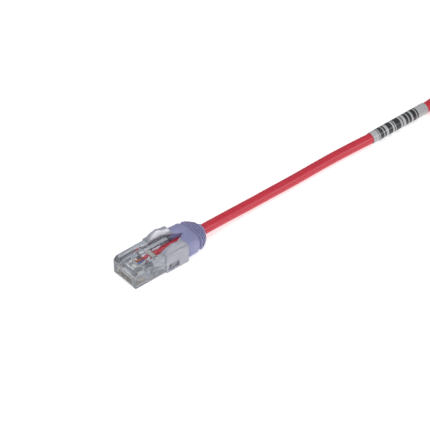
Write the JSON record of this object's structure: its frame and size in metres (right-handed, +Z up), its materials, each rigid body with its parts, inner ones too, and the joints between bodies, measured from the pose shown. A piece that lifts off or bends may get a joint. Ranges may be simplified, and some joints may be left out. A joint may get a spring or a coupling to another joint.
{
  "type": "ethernet patch cable",
  "caption": "Slim round patch cable with clear modular plugs, each with a latch, a guard and a ribbed boot, folded into a tied hank.",
  "frame": {"origin": "under the middle of the near plug, on the surface that the cable lies on", "axes": "+X from the near plug's nose towards its cord, +Y the plug's left, +Z up, on the latch's side"},
  "size_m": [0.2413, 0.0354, 0.0095],
  "materials": {
    "clear_housing": "clear moulded polycarbonate",
    "clear_insert": "clear moulded polycarbonate",
    "clear_guard": "clear moulded polycarbonate, slightly hazy",
    "lavender_boot": "translucent soft moulded plastic",
    "gold_contacts": "gold plated",
    "red_jacket": "extruded flexible PVC",
    "label": "printed wrap with plain bars",
    "tie": "woven strap",
    "white_orange_wire": "extruded insulation",
    "orange_wire": "extruded insulation",
    "white_green_wire": "extruded insulation",
    "blue_wire": "extruded insulation",
    "white_blue_wire": "extruded insulation",
    "green_wire": "extruded insulation",
    "white_brown_wire": "extruded insulation",
    "brown_wire": "extruded insulation"
  },
  "bodies": {
    "cable": {"near_housing": "clear_housing", "near_wire_carrier": "clear_insert", "near_strain_bar": "clear_insert", "near_jacket_end": "red_jacket", "near_latch_guard": "clear_guard", "near_boot": "lavender_boot", "far_housing": "clear_housing", "far_wire_carrier": "clear_insert", "far_strain_bar": "clear_insert", "far_jacket_end": "red_jacket", "far_latch_guard": "clear_guard", "far_boot": "lavender_boot", "near_contact_1": "gold_contacts", "near_contact_2": "gold_contacts", "near_contact_3": "gold_contacts", "near_contact_4": "gold_contacts", "near_contact_5": "gold_contacts", "near_contact_6": "gold_contacts", "near_contact_7": "gold_contacts", "near_contact_8": "gold_contacts", "far_contacts": "gold_contacts", "near_conductor_1": "white_orange_wire", "near_conductor_2": "orange_wire", "near_conductor_3": "white_green_wire", "near_conductor_4": "blue_wire", "near_conductor_5": "white_blue_wire", "near_conductor_6": "green_wire", "near_conductor_7": "white_brown_wire", "near_conductor_8": "brown_wire", "far_conductor_1": "white_orange_wire", "far_conductor_2": "orange_wire", "far_conductor_3": "white_green_wire", "far_conductor_4": "blue_wire", "far_conductor_5": "white_blue_wire", "far_conductor_6": "green_wire", "far_conductor_7": "white_brown_wire", "far_conductor_8": "brown_wire", "cord_lead": "red_jacket", "cord_hank": "red_jacket", "cord_tail": "red_jacket", "cord_label": "label", "hank_tie": "tie"},
    "near_latch_arm": {"near_latch": "clear_housing"},
    "far_latch_arm": {"far_latch": "clear_housing"}
  },
  "joints": [
    {"name": "near_latch_flex", "type": "hinge", "parent": "cable", "child": "near_latch_arm", "pos_m": [-0.01565, 0, 0.00605], "axis": [0, 1, 0], "range_deg": [0, 6.5], "stiffness_Nm_per_rad": 0.2},
    {"name": "far_latch_flex", "type": "hinge", "parent": "cable", "child": "far_latch_arm", "pos_m": [0.1431, -0.0112, 0.00605], "axis": [0, 1, 0], "range_deg": [0, 6.5], "stiffness_Nm_per_rad": 0.2}
  ]
}
